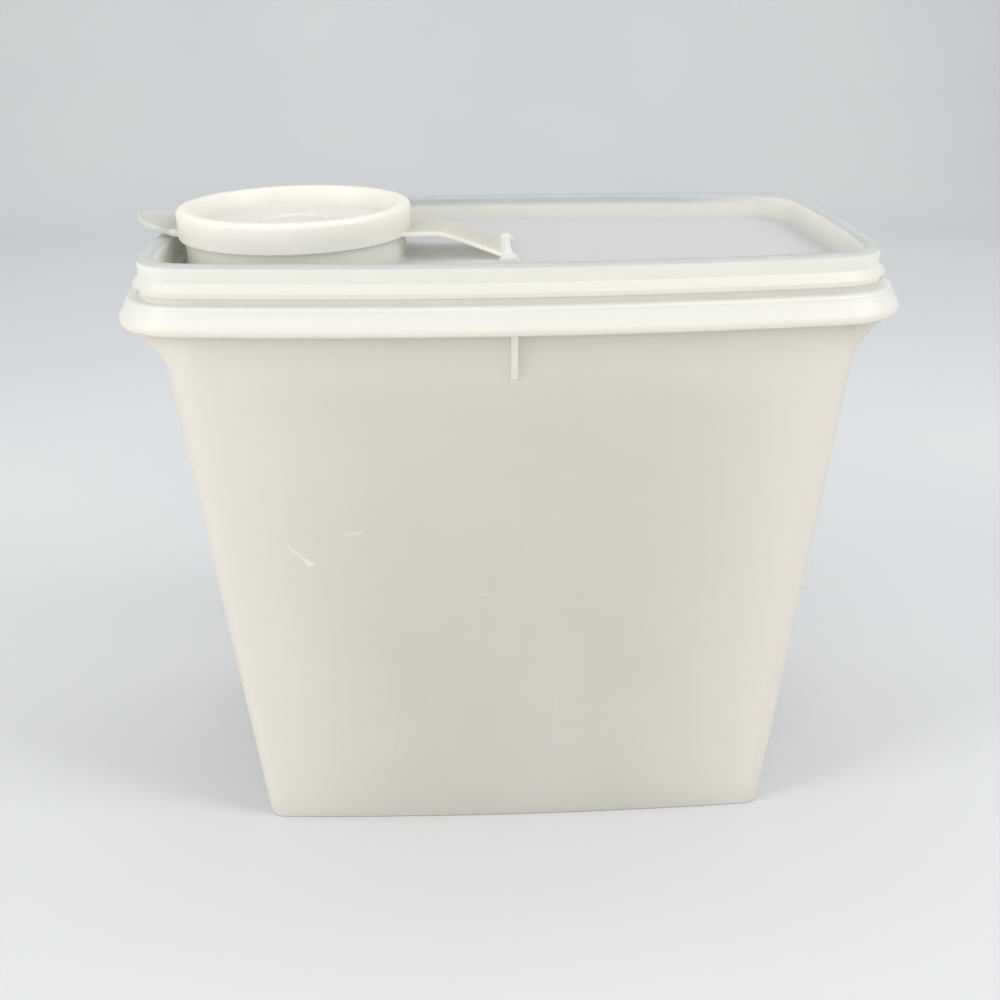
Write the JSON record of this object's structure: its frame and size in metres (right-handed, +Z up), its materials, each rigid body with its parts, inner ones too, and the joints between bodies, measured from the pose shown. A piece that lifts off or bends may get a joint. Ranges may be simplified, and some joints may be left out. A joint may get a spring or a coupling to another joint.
{
  "type": "cereal container with flip spout",
  "caption": "Tall tapered food container with a recessed press-on lid, a round pouring spout and a flip cap with thumb tab on a hinged strap.",
  "frame": {"origin": "middle of the base, on the surface that the container stands on", "axes": "+X along the length towards the end without a spout, +Y towards the back, +Z up; the spout and the thumb tab are at -X"},
  "size_m": [0.2252, 0.1244, 0.1952],
  "materials": {
    "container": "milky translucent polyethylene, satin",
    "lid": "milky translucent polyethylene, satin",
    "strap": "milky translucent polyethylene, satin",
    "cap": "milky polyethylene, satin"
  },
  "bodies": {
    "container": {"container": "container"},
    "lid": {"lid": "lid"},
    "strap": {"hinge_strap": "strap"},
    "cap": {"flip_cap": "cap"}
  },
  "joints": [
    {"name": "lid_lift", "type": "slide", "parent": "container", "child": "lid", "axis": [0, 0, 1], "range_m": [0, 0.06]},
    {"name": "strap_hinge", "type": "hinge", "parent": "lid", "child": "strap", "pos_m": [0.0005, 0, 0.1807], "axis": [0, 1, 0], "range_deg": [0, 145]},
    {"name": "cap_hinge", "type": "hinge", "parent": "strap", "child": "cap", "pos_m": [-0.0281, 0, 0.1873], "axis": [0, 1, 0], "range_deg": [0, 30]}
  ]
}
